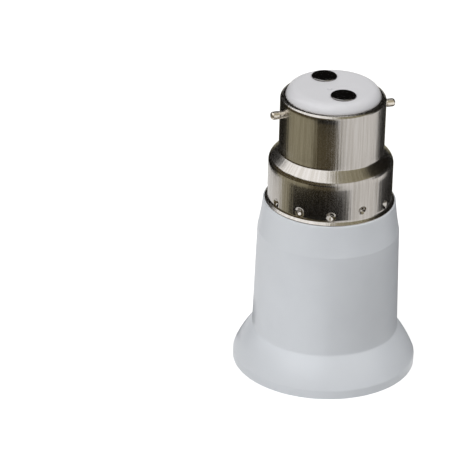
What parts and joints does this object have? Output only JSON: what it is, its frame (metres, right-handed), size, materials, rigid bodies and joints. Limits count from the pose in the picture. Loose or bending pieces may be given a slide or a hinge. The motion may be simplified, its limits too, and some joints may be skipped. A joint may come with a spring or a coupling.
{
  "type": "lamp socket adapter",
  "caption": "White moulded adapter with a two-pin bayonet cap at one end and a screw lamp socket in its bell mouth at the other.",
  "frame": {"origin": "centre of the mouth rim's base plane, on the lamp axis", "axes": "+Z along the lamp axis from the socket mouth to the bayonet contacts, X along the bayonet pins"},
  "size_m": [0.0388, 0.0388, 0.064],
  "materials": {
    "white_moulding": "satin white moulded thermoplastic",
    "sleeve_brass": "bright rolled brass",
    "cap_nickel": "bright nickel plate with fine lines along the axis",
    "pin_nickel": "bright nickel plate",
    "insulator_white": "glossy white moulded plastic",
    "contact_metal": "polished dark solder-faced metal",
    "spring_brass": "bright spring strip",
    "rivet_metal": "bright rivet metal",
    "lead_insulation": "white wire insulation"
  },
  "bodies": {
    "adapter": {"body": "white_moulding", "screw_sleeve": "sleeve_brass", "cap_shell": "cap_nickel", "bayonet_pin_right": "pin_nickel", "bayonet_pin_left": "pin_nickel", "cap_insulator": "insulator_white", "cap_contact_rear": "contact_metal", "cap_contact_front": "contact_metal", "centre_contact_rivet": "rivet_metal", "sleeve_rivet_rear": "rivet_metal", "sleeve_rivet_front": "rivet_metal", "sleeve_lead": "lead_insulation", "centre_lead": "lead_insulation"},
    "contact_tongue": {"centre_contact": "spring_brass"}
  },
  "joints": [
    {"name": "centre_contact_flex", "type": "hinge", "parent": "adapter", "child": "contact_tongue", "pos_m": [-0.0026, 0, 0.031], "axis": [0, -1, 0], "range_deg": [0, 15], "stiffness_Nm_per_rad": 0.15, "deforming": ["centre_contact"]}
  ]
}
